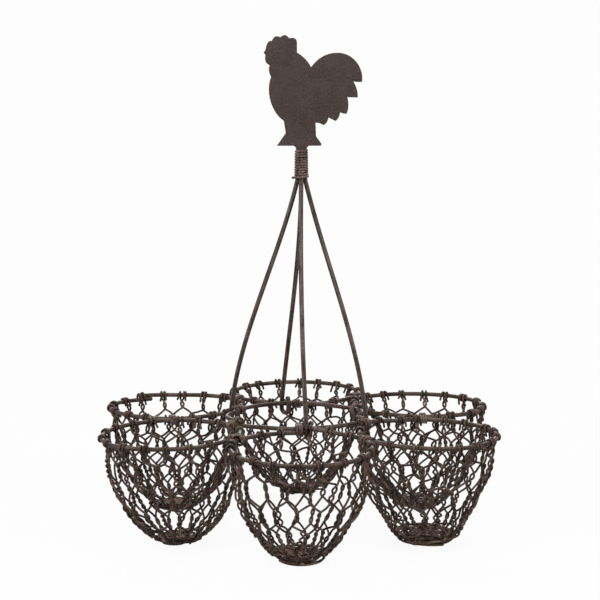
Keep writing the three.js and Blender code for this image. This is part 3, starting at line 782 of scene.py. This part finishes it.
def rooster():
    """Flat plate with softly rounded edges, cut to the outline, and the stem that goes into the binding."""
    outline = [(-STEM_TIP_HALF, -STEM_SHOWN - STEM_DEPTH), (STEM_TIP_HALF, -STEM_SHOWN - STEM_DEPTH)]
    outline += [(STEM_HALF, -STEM_SHOWN), (STEM_HALF, -STEM_FILLET), (STEM_HALF + STEM_FILLET, 0)]
    for step in ROOSTER_OUTLINE:
        controls = np.array(step).reshape(-1, 2) * MM
        outline += bezier(outline[-1], *controls, steps=CURVE_STEPS if len(controls) > 1 else 1)[1:].tolist()
    outline += [(-STEM_HALF - STEM_FILLET, 0), (-STEM_HALF, -STEM_FILLET), (-STEM_HALF, -STEM_SHOWN)]
    curve = bpy.data.curves.new("rooster", "CURVE")
    curve.dimensions = "2D"
    curve.fill_mode = "BOTH"
    curve.extrude = PLATE_THICKNESS / 2 - PLATE_BEVEL
    curve.bevel_depth = PLATE_BEVEL
    curve.bevel_resolution = BEVEL_STEPS
    curve.offset = -PLATE_BEVEL
    spline = curve.splines.new("POLY")
    spline.points.add(len(outline) - 1)
    spline.points.foreach_set("co", np.array([(x, y, 0, 1) for x, y in outline]).ravel())
    spline.use_cyclic_u = True
    shape = bpy.data.objects.new("rooster", curve)
    mesh = bpy.data.meshes.new_from_object(shape)
    bpy.data.objects.remove(shape)
    body = bmesh.new()
    body.from_mesh(mesh)
    bmesh.ops.remove_doubles(body, verts=body.verts, dist=SAME_POINT)
    bmesh.ops.recalc_face_normals(body, faces=body.faces)
    body.to_mesh(mesh)
    body.free()
    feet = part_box("rooster_plate")[0].z + STEM_SHOWN + STEM_DEPTH
    mesh.transform(Matrix.Translation((HANDLE_LEAN, 0, feet)) @ Matrix.Rotation(math.pi / 2, 4, "X"))
    mesh.materials.clear()
    mesh.shade_smooth()
    mesh.set_sharp_from_angle(angle=SHARP_EDGE)
    add_piece("rooster", mesh, ROOSTER_FINISH, "rooster_sheet", "rooster_plate")


for place, turns in LEGS.items():
    leg(place, *turns)
binding()
rooster()


# Ties: each cup to the centre ring, and each cup to the next one round

def tie(name, start, end, lapped, along, seed):
    """Wire wound tightly round two ring wires; its last end sticks out a little."""
    rng = np.random.default_rng(seed)
    line = unit(end - start)
    upright = np.cross(along, line)
    half = np.linalg.norm(end - start) / 2
    turn = np.linspace(0, TIE_TURNS, TURN_STEPS * TIE_TURNS + 1)
    reach = (RING_WIRE + TIE_WIRE) / 2 + TIE_GAP + LAP_UP * lapped
    phase = 2 * math.pi * (turn + rng.uniform(0, 1))
    across = (half + reach) * np.cos(phase)
    round_end = reach * np.sqrt(np.clip(1 - ((np.abs(across) - half) / reach) ** 2, 0, 1))
    waist = reach * (1 - (1 - TIE_PINCH) * np.cos(0.5 * math.pi * across / half) ** 2)
    up = np.sign(np.sin(phase)) * np.where(np.abs(across) > half, round_end, waist)
    travel = (turn - TIE_TURNS / 2) * TIE_STEP
    offsets = across[:, None] * line + up[:, None] * upright + travel[:, None] * along
    points = (start + end) / 2 + offsets
    flick = points[-1] + np.outer(TIE_FLICK, unit(points[-1] - points[-3]))
    wire = Wires(THIN_SIDES)
    wire.add(np.vstack([points, flick]), TIE_WIRE)
    wire.build(name.replace("tie", "wrap"), BINDING_FINISH, "binding_wire", name)


def on_rim(place, direction):
    """The middle of a rim's wire in a direction from the cup's middle, and what its lapped ends add."""
    angle = math.radians(direction)
    radius, height, lapped = RIMS[place].at(angle)
    return settle(polar(radius, angle, height)[None, :], place)[0], lapped


for i, (place, angle) in enumerate(CUPS.items()):
    following = list(CUPS)[(i + 1) % len(CUPS)]
    radius, height, lapped = CENTRE_RING.at(math.radians(angle))
    on_ring = polar(radius, math.radians(angle), height)
    inner, lapped_too = on_rim(place, angle + 180)
    along = polar(1, math.radians(angle + 90), 0)
    tie(f"centre_tie_{place}", on_ring, inner, max(lapped, lapped_too), along, CENTRE_TIE_SEED + i)
    here, lapped = on_rim(place, angle + 120)
    there, lapped_too = on_rim(following, angle - 60)
    along = polar(1, math.radians(angle + 30), 0)
    tie(f"cup_tie_{place}_to_{following}", here, there, max(lapped, lapped_too), along, CUP_TIE_SEED + i)


# Stage, light and camera

def seen_rays(nodes, links):
    """Is 1 for the rays that bring a picture to the eye, by way of shiny or clear things too."""
    path = nodes.new("ShaderNodeLightPath")
    seen = path.outputs["Is Camera Ray"]
    for kind in ("Is Glossy Ray", "Is Transmission Ray"):
        either = nodes.new("ShaderNodeMath")
        either.operation = "MAXIMUM"
        links.new(seen, either.inputs[0])
        links.new(path.outputs[kind], either.inputs[1])
        seen = either.outputs["Value"]
    return seen


def mix_shaders(nodes, links, first, second, share):
    blend = nodes.new("ShaderNodeMixShader")
    links.new(share, blend.inputs["Fac"])
    links.new(first, blend.inputs[1])
    links.new(second, blend.inputs[2])
    return blend.outputs["Shader"]


def floor_finish():
    """White to the eye with a soft shadow under the basket, pale grey to all other light."""
    material = bpy.data.materials.new("floor")
    material.use_nodes = True
    nodes, links = material.node_tree.nodes, material.node_tree.links
    nodes.remove(nodes["Principled BSDF"])

    def diffuse(grey):
        shade = nodes.new("ShaderNodeBsdfDiffuse")
        shade.inputs["Color"].default_value = (grey, grey, grey, 1)
        return shade.outputs["BSDF"]

    def emission(strength):
        glow = nodes.new("ShaderNodeEmission")
        glow.inputs["Color"].default_value = (1, 1, 1, 1)
        glow.inputs["Strength"].default_value = strength
        return glow.outputs["Emission"]

    near = nodes.new("ShaderNodeAddShader")
    links.new(diffuse(FLOOR_SHADE), near.inputs[0])
    links.new(emission(FLOOR_GLOW), near.inputs[1])
    spot = nodes.new("ShaderNodeNewGeometry")
    distance = nodes.new("ShaderNodeVectorMath")
    distance.operation = "LENGTH"
    links.new(spot.outputs["Position"], distance.inputs[0])
    fade = nodes.new("ShaderNodeMapRange")
    fade.inputs["From Min"].default_value = FLOOR_FADE[0]
    fade.inputs["From Max"].default_value = FLOOR_FADE[1]
    links.new(distance.outputs["Value"], fade.inputs["Value"])
    white = mix_shaders(nodes, links, near.outputs["Shader"], emission(WHITE), fade.outputs["Result"])
    surface = mix_shaders(nodes, links, diffuse(FLOOR_GREY), white, seen_rays(nodes, links))
    links.new(surface, nodes["Material Output"].inputs["Surface"])
    return material


def floor():
    half = FLOOR_HALF
    corners = [(-half, -half, 0), (half, -half, 0), (half, half, 0), (-half, half, 0)]
    mesh = bpy.data.meshes.new("floor")
    mesh.from_pydata(corners, [], [(0, 1, 2, 3)])
    mesh.materials.append(floor_finish())
    plane = bpy.data.objects.new("floor", mesh)
    bpy.context.scene.collection.objects.link(plane)


def world():
    """White all round to the eye, and a soft fill to the object."""
    sky = bpy.data.worlds.new("studio")
    sky.use_nodes = True
    nodes, links = sky.node_tree.nodes, sky.node_tree.links
    fill = nodes["Background"]
    white = nodes.new("ShaderNodeBackground")
    for background, strength in ((fill, SKY_FILL), (white, WHITE)):
        background.inputs["Color"].default_value = (1, 1, 1, 1)
        background.inputs["Strength"].default_value = strength
    fill, white = fill.outputs["Background"], white.outputs["Background"]
    surface = mix_shaders(nodes, links, fill, white, seen_rays(nodes, links))
    links.new(surface, nodes["World Output"].inputs["Surface"])
    bpy.context.scene.world = sky


def lamp(name, place, power, size):
    light = bpy.data.lights.new(name, "AREA")
    light.energy = power
    light.size = size
    item = bpy.data.objects.new(name, light)
    item.location = place
    item.rotation_euler = (LAMP_TARGET - item.location).to_track_quat("-Z", "Y").to_euler()
    bpy.context.scene.collection.objects.link(item)


def camera():
    data = bpy.data.cameras.new("camera")
    data.lens = CAMERA_LENS
    item = bpy.data.objects.new("camera", data)
    item.location = Matrix.Rotation(CAMERA_TURN, 3, "Z") @ CAMERA_PLACE
    item.rotation_euler = Euler((math.pi / 2 - CAMERA_PITCH, 0, CAMERA_TURN))
    bpy.context.scene.collection.objects.link(item)
    bpy.context.scene.camera = item


floor()
world()
for name, values in LAMPS.items():
    lamp(name, *values)
camera()
bpy.context.scene.view_settings.view_transform = "Standard"
